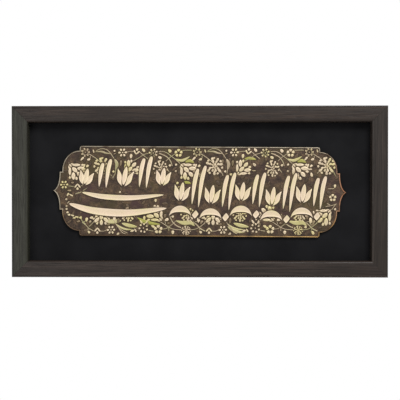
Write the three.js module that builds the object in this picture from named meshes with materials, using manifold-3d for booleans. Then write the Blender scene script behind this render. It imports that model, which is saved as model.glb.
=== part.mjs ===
// Calligraphy wall panel: a mitred shadow-box frame, its backing board and a cast relief plaque.
// Millimetres. +X is the viewer's right, +Z is up, the front faces -Y and the back lies on the wall at y = 0.

import * as THREE from 'three';
import Module from 'manifold-3d';

const wasm = await Module();
wasm.setup();

// Panel and moulding
const PANEL_LENGTH = 750;
const PANEL_HEIGHT = 342;
const MOULDING_FACE = 32.5;
const MOULDING_DEPTH = 34;
const ARRIS = 2.6;
const QUIRK_WIDTH = 3.6;
const QUIRK_DEPTH = 0.7;
const LIP_BEVEL = 3.4;
const REBATE_WIDTH = 9;
const FIT_GAP = 0.3;

// Backing board, flush with the back of the moulding
const BOARD_THICKNESS = 10;

// Plaque: a cartouche with a straight run, a small step, a round lobe, a square step and an ogee point
const PLAQUE_TILT_DEG = 0.4;
const HALF_LENGTH = 294.5;
const HALF_HEIGHT = 90.6;
const RUN_END = 241.6;
const CORNER_ROUND = 5;
const LOBE_TOP = 81;
const LOBE_END = 276.4;
const LOBE_FOOT = 41;
const EAR_END = 281.8;
const EAR_TOP = 38.5;
const POINT_SHOULDER = 7;
const LOBE_STEPS = 6;
const OGEE_STEPS = 4;
const CORNER_STEPS = 2;

// Heights above the back of the plaque
const GROUND = 4.5;
const RIM_WIDTH = 2.8;
const RIM_TOP = 6.6;
const LEAF_TOP = 5.7;
const STEM_TOP = 5.9;
const FLOWER_TOP = 6.4;
const STROKE_TOP = 7.6;
const ROOT = 1;
const DRAFT = 0.7;

// The scroll repeats along the plaque. Each unit is placed from its own first flower.
const SCROLL_PITCH = 224.2;
const SCROLL_REPEATS = 3;
const FIELD_MARGIN = 4;
const ROSETTE_PETALS = 5;
const ROSETTE_NOTCH = 0.6;
const BLOOM_PETALS = 8;
const BLOOM_NOTCH = 0.72;
const FAN_CALYX = 6;
const FAN_TEETH = 5;
const FAN_NOTCH = 0.72;
const FAN_SPREAD_DEG = 92;
const STEM_WIDTH = 1.8;
const BUD_SLIMNESS = 0.52;
const SMALLEST_BUD = 7;
const LEAST_HALF_WIDTH = 0.12;

// Flowers are [x, z, radius], fans and buds [x, z, length, turn in degrees], stems lists of [x, z]
const UPPER_SCROLL = {
  start: [-231, 79],
  rosettes: [[0, 0, 9], [76, -1, 8], [137, -2, 8], [189, -1, 7.5]],
  blooms: [[33, -29, 17], [153, -33, 17]],
  fans: [[-28, -28, 36, -47], [87, -45, 32, 68]],
  buds: [[-4, -14, 8, 40], [9, -15, 6, 20], [6, -48, 7, 100], [60, 2, 5, 90], [57, -40, 5, 60],
    [69, -46, 6, -30], [93, -9, 7, 85], [108, -1, 9, 60], [117, 3, 6, 120], [120, -25, 6, -45],
    [152, -13, 6, -35], [171, 2, 6, -45], [171, -27, 5, 0], [2, -30, 7, 70]],
  stems: [[[5, -4], [20, -14]], [[46, -41], [62, -58]], [[177, -10], [195, -26]], [[83, 2], [99, 2]],
    [[119, -3], [103, -18]], [[112, -3], [134, -24]], [[147, 1], [161, -1], [173, -12], [178, -25]],
    [[19, 0], [30, 6], [44, 5], [56, -5], [61, -13]], [[-9, -53], [2, -61]]],
  leaves: [[[61, -12], [66, -30], [56, -52], 5], [[182, -15], [199, -18], [209, -9], 4.5]],
};
const LOWER_SCROLL = {
  start: [-206, -78],
  rosettes: [[28, 2, 8], [93, 2, 8.5], [122, 2, 7.5], [180, 1, 9]],
  blooms: [[4, 26, 17], [66, 23, 16], [116, 25, 16], [183, 29, 16]],
  fans: [[93, 13, 12, 90]],
  buds: [[0, 0, 9, 55], [-3, 0, 9, 125], [0, -5, 5, 90], [35, 22, 7, 90], [40, -5, 6, 45], [112, 8, 8, -40],
    [139, 22, 6, 45], [151, 28, 5, -30], [153, -3, 7, 90], [-19, -2, 6, 80], [-21, 20, 7, 75]],
  stems: [[[-32, 20], [-19, 6], [-6, 18]], [[-16, 6], [-5, 0]], [[8, -1], [19, 2]],
    [[146, 32], [151, 19], [163, 8]], [[156, 16], [142, 4], [130, 1]], [[152, 4], [168, 0]],
    [[35, 17], [43, 7], [59, -1], [73, -2]]],
  leaves: [[[52, 12], [67, 8], [81, 5], 8], [[84, 24], [108, 17], [128, 13], 6],
    [[160, 16], [176, 17], [191, 14], 9]],
};
const END_MOTIFS = {
  start: [0, 0],
  rosettes: [[-271, 14, 8], [268, -12.5, 7.5]],
  blooms: [],
  fans: [],
  buds: [[-248, 11, 9, 60], [-243, 11, 9, 120], [-246, 5, 5, 90], [-24, 10, 9, 60], [-19, 10, 9, 120],
    [-22, 4, 5, 90], [271, 11, 6, 80], [271, -35, 5, 0], [-253, -6, 8, 30]],
  stems: [[[-241, 28], [-228, 18], [-217, 26]], [[-228, 18], [-240, 10]], [[-265, 12], [-252, 9]],
    [[252, -29], [275, -24]], [[274, -27], [264, -37]]],
  leaves: [],
};

// The band of strokes is a row of plant forms: a phrase repeated from the right end, each time with its own
// rise and stretch, and another at the left end. Reeds are [x, z, height], lotuses [x, z, length, turn],
// lozenges [x, z], hills [x, z] of the middle of their arc and sweeps [x, z, to x, to z, sag, width].
const PHRASE = {
  reeds: [[0, -34, 70], [-13, -28, 60]],
  lotuses: [[-36.5, -23, 38, 82]],
  hills: [[-36.5, -62]],
  lozenges: [[-6, -48]],
};
const PHRASE_START = 242;
const PHRASE_PITCH = 61;
const PHRASE_RISE = [0, -6, 3, -3, 2];
const PHRASE_STRETCH = [0.95, 1.12, 1, 1.08, 1.2];
const LEFT_PHRASE = {
  reeds: [[-107, 6, 64], [-121, 8, 58], [-188, 6, 58], [-202, 8, 48]],
  lotuses: [[-76, 10, 36, 82], [-154, 8, 40, 80], [-232, 10, 34, 78]],
  sweeps: [[-262, -26, -66, -34, 13, 15], [-236, -3, -72, -7, 8, 11]],
};
const REED_LEAN = 0.17;
const REED_WIDTH = 8.6;
const LEAF_WIDTH = 10;
const HILL_RADIUS = 25;
const HILL_SPAN_DEG = 130;
const HILL_WIDTH = 13;
const LOZENGE_SIZE = 17;

// Colours from the photograph
const WENGE = { color: 0x40362f, roughness: 0.55, metalness: 0 };
const BLACK_BOARD = { color: 0x151517, roughness: 0.9, metalness: 0 };
const ANTIQUE_BRASS = { color: 0xb39b76, roughness: 0.42, metalness: 0.85 };

const radians = THREE.MathUtils.degToRad;

// Skins a stack of loops with the same number of points, caps its two ends, and turns its faces outwards.
function skin(loops, flatten) {
  const clockwise = THREE.ShapeUtils.isClockWise(loops[0].map(flatten));
  const rows = clockwise ? loops.map((loop) => [...loop].reverse()) : loops;
  const count = rows[0].length;
  const index = [];
  for (let row = 0; row + 1 < rows.length; row += 1) {
    for (let i = 0; i < count; i += 1) {
      const a = row * count + i;
      const b = row * count + ((i + 1) % count);
      index.push(a, b, b + count, a, b + count, a + count);
    }
  }
  const last = rows.length - 1;
  for (const [a, b, c] of THREE.ShapeUtils.triangulateShape(rows[0].map(flatten), [])) index.push(c, b, a);
  for (const face of THREE.ShapeUtils.triangulateShape(rows[last].map(flatten), [])) {
    index.push(...face.map((corner) => last * count + corner));
  }
  const geometry = new THREE.BufferGeometry().setFromPoints(rows.flat());
  geometry.setIndex(index);
  if (volume(geometry) < 0) geometry.setIndex(index.reverse());
  return geometry;
}

// Signed volume of a closed indexed mesh.
function volume(geometry) {
  const position = geometry.getAttribute('position');
  const corner = [new THREE.Vector3(), new THREE.Vector3(), new THREE.Vector3()];
  let sum = 0;
  for (let i = 0; i < geometry.index.count; i += 3) {
    corner.forEach((v, k) => v.fromBufferAttribute(position, geometry.index.getX(i + k)));
    sum += corner[0].dot(corner[1].clone().cross(corner[2])) / 6;
  }
  return sum;
}

function toSolid(geometry) {
  return new wasm.Manifold(new wasm.Mesh({
    numProp: 3,
    vertProperties: new Float32Array(geometry.getAttribute('position').array),
    triVerts: new Uint32Array(geometry.index.array),
  }));
}

function toGeometry(solid) {
  const mesh = solid.getMesh();
  const geometry = new THREE.BufferGeometry();
  geometry.setAttribute('position', new THREE.BufferAttribute(mesh.vertProperties, 3));
  geometry.setIndex(new THREE.BufferAttribute(mesh.triVerts, 1));
  return geometry;
}

function namedMesh(name, geometry, finish) {
  const mesh = new THREE.Mesh(geometry, new THREE.MeshStandardMaterial(finish));
  mesh.name = name;
  return mesh;
}

// Moulding section as [distance in from the outer edge, depth in front of the wall].
function mouldingSection() {
  const face = MOULDING_DEPTH;
  const sight = MOULDING_FACE;
  const points = [[0, 0]];
  for (let step = 0; step <= 3; step += 1) {
    const angle = (step / 3) * (Math.PI / 2);
    points.push([ARRIS * (1 - Math.cos(angle)), face - ARRIS + ARRIS * Math.sin(angle) - QUIRK_DEPTH]);
  }
  points.push([QUIRK_WIDTH, face - QUIRK_DEPTH], [QUIRK_WIDTH + QUIRK_DEPTH, face]);
  points.push([sight - LIP_BEVEL, face], [sight - LIP_BEVEL / 4, face - LIP_BEVEL / 2]);
  points.push([sight, face - LIP_BEVEL], [sight, BOARD_THICKNESS + FIT_GAP]);
  points.push([sight - REBATE_WIDTH, BOARD_THICKNESS + FIT_GAP], [sight - REBATE_WIDTH, 0]);
  return points;
}

// One mitred length: the section is carried along the rail and both ends are cut on the diagonal.
function rail(name, railLength, panelAcross, turn) {
  const end = (side) => mouldingSection().map(([inward, depth]) => new THREE.Vector3(
    side * (railLength / 2 - inward - FIT_GAP / 2),
    -depth,
    panelAcross / 2 - inward,
  ));
  const geometry = skin([end(-1), end(1)], (v) => new THREE.Vector2(-v.z, -v.y));
  const mesh = namedMesh(name, geometry, WENGE);
  mesh.rotation.y = turn;
  return mesh;
}

function frame() {
  const group = new THREE.Group();
  group.add(rail('frame_top_rail', PANEL_LENGTH, PANEL_HEIGHT, 0));
  group.add(rail('frame_right_stile', PANEL_HEIGHT, PANEL_LENGTH, Math.PI / 2));
  group.add(rail('frame_bottom_rail', PANEL_LENGTH, PANEL_HEIGHT, Math.PI));
  group.add(rail('frame_left_stile', PANEL_HEIGHT, PANEL_LENGTH, -Math.PI / 2));
  return group;
}

function backingBoard() {
  const around = 2 * (MOULDING_FACE - REBATE_WIDTH + FIT_GAP);
  const geometry = new THREE.BoxGeometry(PANEL_LENGTH - around, BOARD_THICKNESS, PANEL_HEIGHT - around);
  const mesh = namedMesh('backing_board', geometry, BLACK_BOARD);
  mesh.position.y = -BOARD_THICKNESS / 2;
  return mesh;
}

// One quarter of the cartouche, from the straight run round to the point, set in by a distance.
function cartoucheQuarter(inset) {
  const points = [];
  const round = CORNER_ROUND - inset;
  for (let step = 0; step <= CORNER_STEPS; step += 1) {
    const angle = (step / CORNER_STEPS) * (Math.PI / 2);
    points.push([
      RUN_END - CORNER_ROUND + round * Math.sin(angle),
      HALF_HEIGHT - CORNER_ROUND + round * Math.cos(angle),
    ]);
  }
  const lobeAcross = LOBE_END - RUN_END;
  const lobeDown = LOBE_TOP - LOBE_FOOT;
  for (let step = 0; step <= LOBE_STEPS; step += 1) {
    const angle = (step / LOBE_STEPS) * (Math.PI / 2);
    points.push([
      RUN_END + (lobeAcross - inset) * Math.sin(angle) - (step ? 0 : inset),
      LOBE_FOOT + (lobeDown - inset) * Math.cos(angle),
    ]);
  }
  const ogee = new THREE.QuadraticBezierCurve(
    new THREE.Vector2(EAR_END - inset, EAR_TOP - inset),
    new THREE.Vector2(EAR_END - inset, POINT_SHOULDER),
    new THREE.Vector2(HALF_LENGTH - 1.4 * inset, 0),
  );
  points.push([LOBE_END - inset, EAR_TOP - inset]);
  ogee.getPoints(OGEE_STEPS).forEach((p) => points.push([p.x, p.y]));
  return points;
}

// The whole cartouche, anticlockwise from the front.
function cartouche(inset) {
  const quarter = cartoucheQuarter(inset);
  const back = quarter.slice(0, -1).reverse();
  const forward = quarter.slice(1);
  return [
    ...quarter,
    ...back.map(([x, z]) => [x, -z]),
    ...quarter.map(([x, z]) => [-x, -z]),
    ...back.map(([x, z]) => [-x, z]),
  ].reverse();
}

// A raised form: its foot loop at one height and its top loop at another, above the back of the plaque.
function raised(foot, top, from, to) {
  const lift = (loop, height) => loop.map(([x, z]) => new THREE.Vector3(x, -height, z));
  return toSolid(skin([lift(foot, from), lift(top, to)], (v) => new THREE.Vector2(v.x, v.z)));
}

// Half the height of the field at a distance along the plaque.
function fieldHalfHeight(x) {
  const far = Math.abs(x);
  if (far < RUN_END) return HALF_HEIGHT - RIM_WIDTH;
  if (far < LOBE_END) {
    const across = (far - RUN_END) / (LOBE_END - RUN_END);
    return LOBE_FOOT + (LOBE_TOP - LOBE_FOOT) * Math.sqrt(1 - across * across) - RIM_WIDTH;
  }
  return far < EAR_END ? EAR_TOP - RIM_WIDTH : 0;
}

function inField([x, z], reach) {
  const far = Math.abs(x) + 0.6 * reach;
  return Math.abs(z) + reach < fieldHalfHeight(far) + FIELD_MARGIN;
}

// A band of changing width along a curve through points, as one closed loop.
function ribbon(points, halfWidth, steps) {
  const curve = new THREE.SplineCurve(points.map(([x, z]) => new THREE.Vector2(x, z)));
  const left = [];
  const right = [];
  for (let step = 0; step <= steps; step += 1) {
    const t = step / steps;
    const centre = curve.getPoint(t);
    const ahead = curve.getTangent(t);
    const half = halfWidth(t);
    left.push([centre.x - ahead.y * half, centre.y + ahead.x * half]);
    right.push([centre.x + ahead.y * half, centre.y - ahead.x * half]);
  }
  return [...right, ...left.reverse()];
}

// Width profiles along a stroke, from 0 at its first end to 0 at its last. A blade is widest two thirds up.
const BLADE_PEAK = 0.465;
const blade = (t) => (t ** 0.8 * (1 - t) ** 0.4) / BLADE_PEAK;
const boat = (t) => Math.sin(Math.PI * t) ** 0.55;
const moon = (t) => Math.sin(Math.PI * t) ** 1.3;
const lens = (t) => Math.sin(Math.PI * t) ** 0.8;
const even = () => 1;

// The loop of a tapering form, spread out by a distance all round.
function taper(points, width, profile, steps, spread) {
  return ribbon(points, (t) => Math.max(LEAST_HALF_WIDTH, (profile(t) * width) / 2 + spread), steps);
}

function stroke(points, width, profile, steps) {
  const foot = taper(points, width, profile, steps, DRAFT / 2);
  const top = taper(points, width, profile, steps, -DRAFT / 2);
  return raised(foot, top, GROUND - ROOT, STROKE_TOP);
}

function reed([x, z, height]) {
  const bow = 0.012 * height;
  return stroke([
    [x, z],
    [x + REED_LEAN * height * 0.3 - bow, z + height * 0.35],
    [x + REED_LEAN * height * 0.6 - bow, z + height * 0.7],
    [x + REED_LEAN * height, z + height],
  ], REED_WIDTH, blade, 5);
}

// A lotus: a short blade between two leaves that curl outwards from its foot.
function lotus([x, z, length, turn]) {
  const [dx, dz] = [Math.cos(radians(turn)), Math.sin(radians(turn))];
  const place = (far, out) => [x + length * (far * dx - out * dz), z + length * (far * dz + out * dx)];
  const leaf = (side) => stroke(
    [place(0.04, 0.06 * side), place(0.3, 0.22 * side), place(0.6, 0.29 * side), place(0.88, 0.42 * side)],
    LEAF_WIDTH, moon, 5,
  );
  return [leaf(1), leaf(-1), stroke([place(0.1, 0), place(1.05, 0)], LEAF_WIDTH, lens, 4)];
}

// A hill: a crescent with its horns down.
function hill([x, z]) {
  const points = [];
  for (let step = 0; step <= 6; step += 1) {
    const angle = radians(90 + HILL_SPAN_DEG * (step / 6 - 0.5));
    points.push([x + HILL_RADIUS * Math.cos(angle), z + HILL_RADIUS * Math.sin(angle)]);
  }
  return stroke(points, HILL_WIDTH, moon, 8);
}

function sweep([fromX, fromZ, toX, toZ, sag, width]) {
  return stroke([
    [fromX, fromZ],
    [fromX + (toX - fromX) * 0.25, fromZ + (toZ - fromZ) * 0.25 - sag * 0.9],
    [fromX + (toX - fromX) * 0.6, fromZ + (toZ - fromZ) * 0.6 - sag],
    [toX, toZ],
  ], width, boat, 9);
}

function lozenge([x, z]) {
  const loop = (spread) => [0, 1, 2, 3].map((k) => {
    const reach = (k % 2 ? 0.5 : 0.4) * LOZENGE_SIZE + spread;
    const angle = radians(k * 90 + (k % 2 ? -6 : 8));
    return [x + reach * Math.cos(angle), z + reach * Math.sin(angle)];
  });
  return raised(loop(DRAFT / 2), loop(-DRAFT / 2), GROUND - ROOT, STROKE_TOP);
}

// One phrase of the band, moved along the plaque, raised by its step, its reeds stretched.
function phrase(forms, shift, rise, stretch) {
  const { reeds = [], lotuses = [], lozenges = [], hills = [], sweeps = [] } = forms;
  const move = ([x, z, ...rest]) => [x + shift, z + rise, ...rest];
  return [
    ...reeds.map(([x, z, height]) => reed(move([x, z, height * stretch]))),
    ...lotuses.flatMap((form) => lotus(move(form))),
    ...lozenges.map((form) => lozenge(move(form))),
    ...hills.map((form) => hill(move(form))),
    ...sweeps.map(sweep),
  ];
}

function strokeBand() {
  const repeated = PHRASE_RISE.flatMap((rise, k) => {
    const shift = PHRASE_START - k * PHRASE_PITCH;
    return phrase(PHRASE, shift, rise, PHRASE_STRETCH[k]);
  });
  return [...repeated, ...phrase(LEFT_PHRASE, 0, 0, 1)];
}

// A closed loop round a centre, its reach swinging between petal tips and the notches between them.
function petalLoop([x, z], radius, petals, notch, phase) {
  return Array.from({ length: petals * 2 }, (_, k) => {
    const reach = k % 2 ? radius * notch : radius;
    const angle = phase + (k * Math.PI) / petals;
    return [x + reach * Math.cos(angle), z + reach * Math.sin(angle)];
  });
}

function flower(place, radius, petals, notch, phase) {
  const foot = petalLoop(place, radius, petals, notch, phase);
  const top = petalLoop(place, radius - DRAFT, petals, notch, phase);
  return raised(foot, top, GROUND - ROOT, FLOWER_TOP);
}

// A palmette: teeth round a fan that opens from its calyx.
function fan([x, z], length, turn) {
  const steps = FAN_TEETH * 2;
  const loop = (reach) => {
    const points = [[x, z]];
    for (let k = 0; k <= steps; k += 1) {
      const angle = radians(turn + FAN_SPREAD_DEG * (k / steps - 0.5));
      const tip = k % 2 ? reach : reach * FAN_NOTCH;
      points.push([x + tip * Math.cos(angle), z + tip * Math.sin(angle)]);
    }
    return points;
  };
  return raised(loop(length), loop(length - DRAFT), GROUND - ROOT, FLOWER_TOP);
}

// A bud is a small pointed boss, longer than it is wide.
function bud([x, z], length, turn) {
  const loop = (spread) => [0, 1, 2, 3].map((k) => {
    const reach = (k % 2 ? BUD_SLIMNESS : 1) * 0.5 * length + spread;
    const angle = radians(turn + k * 90);
    return [x + reach * Math.cos(angle), z + reach * Math.sin(angle)];
  });
  return raised(loop(0), loop(-DRAFT), GROUND - ROOT, FLOWER_TOP);
}

function relief(points, width, profile, steps, top) {
  const foot = taper(points, width, profile, steps, 0);
  return raised(foot, taper(points, width, profile, steps, -DRAFT / 2), GROUND - ROOT, top);
}

// One unit of the scroll, moved along the plaque, with what would reach past the field left out.
function scrollUnit(scroll, shift) {
  const place = ([x, z]) => [scroll.start[0] + shift + x, scroll.start[1] + z];
  const solids = [];
  const keep = (at, reach, make) => {
    if (inField(at, reach)) solids.push(make());
  };
  for (const [x, z, radius] of scroll.rosettes) {
    const at = place([x, z]);
    keep(at, radius, () => flower(at, radius, ROSETTE_PETALS, ROSETTE_NOTCH, Math.PI / 2));
  }
  for (const [x, z, radius] of scroll.blooms) {
    const at = place([x, z]);
    keep(at, radius, () => flower(at, radius, BLOOM_PETALS, BLOOM_NOTCH, 0.2));
  }
  for (const [x, z, length, turn] of scroll.fans) {
    const calyx = place([x, z]);
    keep(calyx, FAN_CALYX, () => fan(calyx, length, turn));
  }
  for (const [x, z, length, turn] of scroll.buds.filter((form) => form[2] >= SMALLEST_BUD)) {
    const at = place([x, z]);
    keep(at, length / 2, () => bud(at, length, turn));
  }
  for (const points of scroll.stems) {
    const placed = points.map(place);
    keep(placed.at(-1), 3, () => relief(placed, STEM_WIDTH, even, 2 * points.length - 3, STEM_TOP));
  }
  for (const leaf of scroll.leaves) {
    const placed = leaf.slice(0, 3).map(place);
    keep(placed[1], leaf[3], () => relief(placed, leaf[3], lens, 4, LEAF_TOP));
  }
  return solids;
}

function scrollwork() {
  const solids = scrollUnit(END_MOTIFS, 0);
  for (let unit = 0; unit < SCROLL_REPEATS; unit += 1) {
    solids.push(...scrollUnit(UPPER_SCROLL, unit * SCROLL_PITCH));
    solids.push(...scrollUnit(LOWER_SCROLL, unit * SCROLL_PITCH));
  }
  return solids;
}

function plaque() {
  const plate = raised(cartouche(0), cartouche(RIM_WIDTH / 3), 0, RIM_TOP);
  const pocket = raised(cartouche(RIM_WIDTH), cartouche(RIM_WIDTH * 0.7), GROUND, RIM_TOP + 1);
  const parts = [...scrollwork(), ...strokeBand()];
  const solid = parts.reduce((sum, part) => sum.add(part), plate.subtract(pocket));
  const mesh = namedMesh('plaque', toGeometry(solid), ANTIQUE_BRASS);
  mesh.position.y = -(BOARD_THICKNESS + FIT_GAP);
  mesh.rotation.y = radians(PLAQUE_TILT_DEG);
  return mesh;
}

const panel = new THREE.Group();
panel.add(frame(), backingBoard(), plaque());

export default panel;
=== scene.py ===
"""Looks of a framed wall panel: wenge moulding, black board and an antique brass relief plaque.

Sizes are in millimetres in the classes and in metres in the meshes. +X is the viewer's right, +Z is up, the
front faces -Y and the back lies on the wall at y = 0. On the plaque a place is (x, z) from its centre and a
height is measured from its back.
"""

import logging
import math
from dataclasses import dataclass, field
from enum import Enum
from typing import Any, Callable, Sequence

import bmesh
import bpy
import numpy as np
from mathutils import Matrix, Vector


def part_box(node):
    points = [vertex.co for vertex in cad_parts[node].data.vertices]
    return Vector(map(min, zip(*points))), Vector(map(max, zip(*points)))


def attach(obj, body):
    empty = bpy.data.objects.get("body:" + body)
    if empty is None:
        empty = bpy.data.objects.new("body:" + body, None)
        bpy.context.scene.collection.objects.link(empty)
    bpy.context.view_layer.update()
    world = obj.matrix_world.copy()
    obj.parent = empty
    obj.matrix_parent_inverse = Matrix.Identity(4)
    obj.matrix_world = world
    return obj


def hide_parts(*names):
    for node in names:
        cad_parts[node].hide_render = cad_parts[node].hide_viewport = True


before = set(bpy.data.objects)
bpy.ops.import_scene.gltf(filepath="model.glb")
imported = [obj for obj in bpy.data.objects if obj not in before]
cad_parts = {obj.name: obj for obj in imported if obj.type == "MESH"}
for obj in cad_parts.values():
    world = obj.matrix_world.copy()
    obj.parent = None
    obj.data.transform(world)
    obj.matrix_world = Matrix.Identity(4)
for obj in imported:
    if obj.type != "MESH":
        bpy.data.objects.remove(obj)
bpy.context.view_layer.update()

MM = 0.001
BODY = "root"
SEED = 7
log = logging.getLogger("panel")


# Node and mesh helpers


def linear(hex_colour: str, alpha: float = 1.0) -> tuple[float, float, float, float]:
    """Turns an sRGB hex colour into linear light.

    Args:
        hex_colour: Six hex digits.
        alpha: The fourth channel, kept as it is.

    Returns:
        Linear red, green and blue, and alpha.
    """
    value = np.array([int(hex_colour[k:k + 2], 16) for k in (0, 2, 4)]) / 255
    light = np.where(value <= 0.04045, value / 12.92, ((value + 0.055) / 1.055) ** 2.4)
    return (*light.tolist(), alpha)


def per_mm(size: float) -> float:
    """Pattern scale that gives a feature this many millimetres across, on coordinates in metres."""
    return 1 / (size * MM)


def add_node(tree: bpy.types.NodeTree, kind: str, settings: dict[str, Any] | None = None,
             inputs: dict[str | int, Any] | None = None) -> bpy.types.Node:
    """Adds a node, sets its options, and sets or links its inputs.

    Args:
        tree: The node tree that gets the node.
        kind: The node's type name without its ShaderNode prefix.
        settings: Options of the node by name.
        inputs: Values or output sockets by input name or index.

    Returns:
        The new node.
    """
    node = tree.nodes.new(f"ShaderNode{kind}")
    for name, value in (settings or {}).items():
        setattr(node, name, value)
    for name, value in (inputs or {}).items():
        if isinstance(value, bpy.types.NodeSocket):
            tree.links.new(value, node.inputs[name])
        else:
            node.inputs[name].default_value = value
    return node


def new_material(name: str) -> tuple[bpy.types.Material, bpy.types.NodeTree]:
    """Makes an empty node material.

    Args:
        name: The material's name.

    Returns:
        The material and its node tree.
    """
    material = bpy.data.materials.new(name)
    material.use_nodes = True
    material.node_tree.nodes.clear()
    return material, material.node_tree


@dataclass(frozen=True)
class Cloud:
    """A soft random pattern of one real size, with its values from low to high spread from 0 to 1."""

    size_mm: float
    low: float
    high: float
    detail: float = 3.0
    shift: float = 0.0

    def lay(self, tree: bpy.types.NodeTree, place: bpy.types.NodeSocket) -> bpy.types.NodeSocket:
        """Lays the pattern on coordinates.

        Args:
            tree: The node tree.
            place: The coordinates.

        Returns:
            The pattern's value.
        """
        moved = add_node(tree, "Mapping", None, {"Vector": place, "Location": [self.shift] * 3}).outputs[0]
        base = add_node(tree, "TexNoise", None,
                        {"Vector": moved, "Scale": per_mm(self.size_mm), "Detail": self.detail})
        return add_node(tree, "MapRange", {"clamp": True}, {
            "Value": base.outputs["Fac"], "From Min": self.low, "From Max": self.high}).outputs[0]


def layered(tree: bpy.types.NodeTree, base: str,
            layers: Sequence[tuple[bpy.types.NodeSocket, str]]) -> bpy.types.NodeSocket:
    """Lays colours over one another, each as far as its pattern says.

    Args:
        tree: The node tree.
        base: Hex colour under all.
        layers: Patterns from 0 to 1 with their hex colours, from the lowest to the highest.

    Returns:
        The colour's socket.
    """
    colour: Any = linear(base)
    for amount, over in layers:
        colour = add_node(tree, "Mix", {"data_type": "RGBA"},
                          {0: amount, 6: colour, 7: linear(over)}).outputs[2]
    return colour


def finish_material(tree: bpy.types.NodeTree, inputs: dict[str, Any], height: Any = None,
                    depth_mm: float = 0.0) -> None:
    """Ends a material in a Principled shader, with bump where a height is given.

    Args:
        tree: The node tree.
        inputs: The shader's inputs.
        height: A socket with the bump's height, from 0 to 1.
        depth_mm: How far that height reaches.
    """
    if height is not None:
        bump = add_node(tree, "Bump", None, {"Strength": 1.0, "Distance": depth_mm * MM, "Height": height})
        inputs = {**inputs, "Normal": bump.outputs["Normal"]}
    shader = add_node(tree, "BsdfPrincipled", None, inputs)
    add_node(tree, "OutputMaterial", None, {"Surface": shader.outputs[0]})


@dataclass
class Shell:
    """A closed surface: points in millimetres, faces, and how much each point is rubbed bright, least at the dark
    foot of patina and painted shade.
    """

    points: np.ndarray
    faces: list[list[int]]
    rub_and_shade: np.ndarray
    slots: np.ndarray

    @staticmethod
    def join(shells: Sequence["Shell"]) -> "Shell":
        """Puts several shells into one.

        Args:
            shells: The shells.

        Returns:
            One shell with all their points and faces.
        """
        starts = np.cumsum([0] + [len(shell.points) for shell in shells])
        faces = [[corner + start for corner in face]
                 for shell, start in zip(shells, starts.tolist()) for face in shell.faces]
        return Shell(np.concatenate([shell.points for shell in shells]), faces,
                     np.concatenate([shell.rub_and_shade for shell in shells]),
                     np.concatenate([shell.slots for shell in shells]))


def loft(rings: np.ndarray, rub_and_shade: np.ndarray | float = 0.5, slots: np.ndarray | None = None,
         caps: bool = True) -> Shell:
    """Joins stacks of rings into closed surfaces: each ring to the next, and a cap on the two ends.

    Args:
        rings: Points as (stack, ring, corner, 3), or without the first axis for one stack.
        rub_and_shade: Brightness of each point, in a shape that fits the rings' first three axes.
        slots: Material slot of the band that starts at each ring.
        caps: Whether the first and last rings are closed with a face.

    Returns:
        The shell.
    """
    if rings.ndim == 3:
        rings = rings[None]
    stacks, count, corners, _ = rings.shape
    if stacks == 1 and np.ndim(rub_and_shade) == 1:
        rub_and_shade = rub_and_shade[None, None]
    number = np.arange(stacks * count * corners).reshape(stacks, count, corners)
    ahead = np.roll(number, -1, axis=2)
    quads = np.stack([number[:, :-1], ahead[:, :-1], ahead[:, 1:], number[:, 1:]], axis=-1)
    bands = np.zeros(count - 1, int) if slots is None else slots
    faces = quads.reshape(-1, 4).tolist()
    face_slots = np.broadcast_to(bands[None, :, None], quads.shape[:3]).reshape(-1)
    if caps:
        faces += number[:, 0, ::-1].tolist() + number[:, -1].tolist()
        ends = np.concatenate([np.full(stacks, bands[0]), np.full(stacks, bands[-1])])
        face_slots = np.concatenate([face_slots, ends])
    shine = np.broadcast_to(rub_and_shade, rings.shape[:3]).reshape(-1)
    return Shell(rings.reshape(-1, 3), faces, shine, face_slots)


def make_piece(name: str, shell: Shell, materials: Sequence[bpy.types.Material], replaces: str,
               sharp_deg: float = 40.0, weld_mm: float = 0.0) -> bpy.types.Object:
    """Makes a piece from a shell and ties it to the frame.

    Args:
        name: The piece's name.
        shell: Its surface, in millimetres in the panel's frame.
        materials: Its materials, in the order of the shell's slots.
        replaces: The CAD node that it stands for.
        sharp_deg: Edges that bend more than this stay sharp.
        weld_mm: Points nearer than this are merged, where a shell closes on itself.

    Returns:
        The object.
    """
    mesh = bpy.data.meshes.new(name)
    mesh.from_pydata((shell.points * MM).tolist(), [], shell.faces)
    mesh.polygons.foreach_set("material_index", shell.slots.astype(np.int32))
    # How far each point is rubbed bright; the least rubbed are darkened as patina and painted shade.
    layer = mesh.attributes.new("rub_and_shade", "FLOAT", "POINT")
    layer.data.foreach_set("value", shell.rub_and_shade.astype(np.float32))
    build = bmesh.new()
    build.from_mesh(mesh)
    if weld_mm:
        bmesh.ops.remove_doubles(build, verts=build.verts, dist=weld_mm * MM)
    bmesh.ops.recalc_face_normals(build, faces=build.faces)
    build.to_mesh(mesh)
    build.free()
    for material in materials:
        mesh.materials.append(material)
    mesh.shade_smooth()
    mesh.set_sharp_from_angle(angle=math.radians(sharp_deg))
    piece = bpy.data.objects.new(name, mesh)
    bpy.context.scene.collection.objects.link(piece)
    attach(piece, BODY)
    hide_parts(replaces)
    log.info("%s: %d faces", name, len(mesh.polygons))
    return piece


# Curves and width profiles


def spline(points: Sequence[Sequence[float]], t: np.ndarray) -> np.ndarray:
    """Places along a Catmull-Rom curve, which passes through its points with tangents set by their neighbours.

    Args:
        points: The curve's points, (x, z) each.
        t: Places along it from 0 to 1.

    Returns:
        One (x, z) for each place.
    """
    knots = np.asarray(points, float)
    last = len(knots) - 1
    place = np.clip(t, 0, 1) * last
    start = np.minimum(place.astype(int), last - 1)
    part = (place - start)[:, None]
    before, first = knots[np.maximum(start - 1, 0)], knots[start]
    second, after = knots[start + 1], knots[np.minimum(start + 2, last)]
    ease_in, ease_out = (second - before) / 2, (after - first) / 2
    return ((2 * first - 2 * second + ease_in + ease_out) * part ** 3
            + (-3 * first + 3 * second - 2 * ease_in - ease_out) * part ** 2 + ease_in * part + first)


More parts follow.
